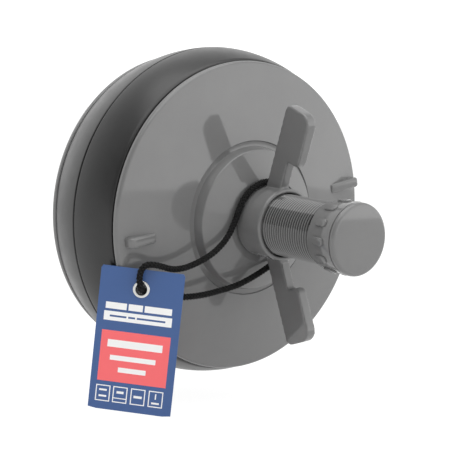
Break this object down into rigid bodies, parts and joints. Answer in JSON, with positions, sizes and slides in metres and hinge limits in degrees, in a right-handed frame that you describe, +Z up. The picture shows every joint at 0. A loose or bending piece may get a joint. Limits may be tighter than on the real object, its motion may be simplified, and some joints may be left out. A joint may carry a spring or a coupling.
{
  "type": "expanding pipe plug",
  "caption": "Expanding pipe end plug: rubber sealing ring between two grey plastic plates, drawn together by a wing nut on a hollow threaded spindle with a screw cap, with a corded tag.",
  "frame": {"origin": "on the spindle's axis, at the middle of the sealing ring's length, where the pipe's wall grips it", "axes": "-Y along the spindle towards the screw cap, +Y into the pipe, +Z up, +X to the right as seen from the cap"},
  "size_m": [0.113, 0.1057, 0.1197],
  "materials": {
    "grey_plastic": "smooth glossy moulded plastic",
    "black_rubber": "smooth satin rubber",
    "printed_card": "printed card with a satin coating",
    "eyelet_metal": "bright plated metal",
    "black_cord": "braided cord"
  },
  "bodies": {
    "core": {"rear_plate": "grey_plastic", "spindle": "grey_plastic", "spindle_seal": "black_rubber", "sealing_ring": "black_rubber"},
    "clamp": {"front_plate": "grey_plastic", "hang_tag": "printed_card", "tag_eyelet": "eyelet_metal", "tag_cord": "black_cord", "cord_knot": "black_cord"},
    "nut": {"wing_nut": "grey_plastic"},
    "cap_gasket": {"cap_seal": "black_rubber"},
    "cap": {"screw_cap": "grey_plastic"}
  },
  "joints": [
    {"name": "plate_travel", "type": "slide", "parent": "core", "child": "clamp", "axis": [0, 1, 0], "range_m": [0, 0.008], "deforming": ["sealing_ring"]},
    {"name": "nut_turn", "type": "hinge", "parent": "clamp", "child": "nut", "pos_m": [0, -0.0289, 0], "axis": [0, 1, 0], "range_deg": [0, 2618.5]},
    {"name": "cap_travel", "type": "slide", "parent": "core", "child": "cap_gasket", "axis": [0, -1, 0], "range_m": [0, 0.0095]},
    {"name": "cap_turn", "type": "hinge", "parent": "cap_gasket", "child": "cap", "pos_m": [0, -0.0625, 0], "axis": [0, -1, 0], "range_deg": [0, 1710.5]}
  ],
  "couplings": [
    {"joint": "nut_turn", "follows": "plate_travel", "rad_per_m": 5712},
    {"joint": "cap_turn", "follows": "cap_travel", "rad_per_m": 3141.6}
  ]
}
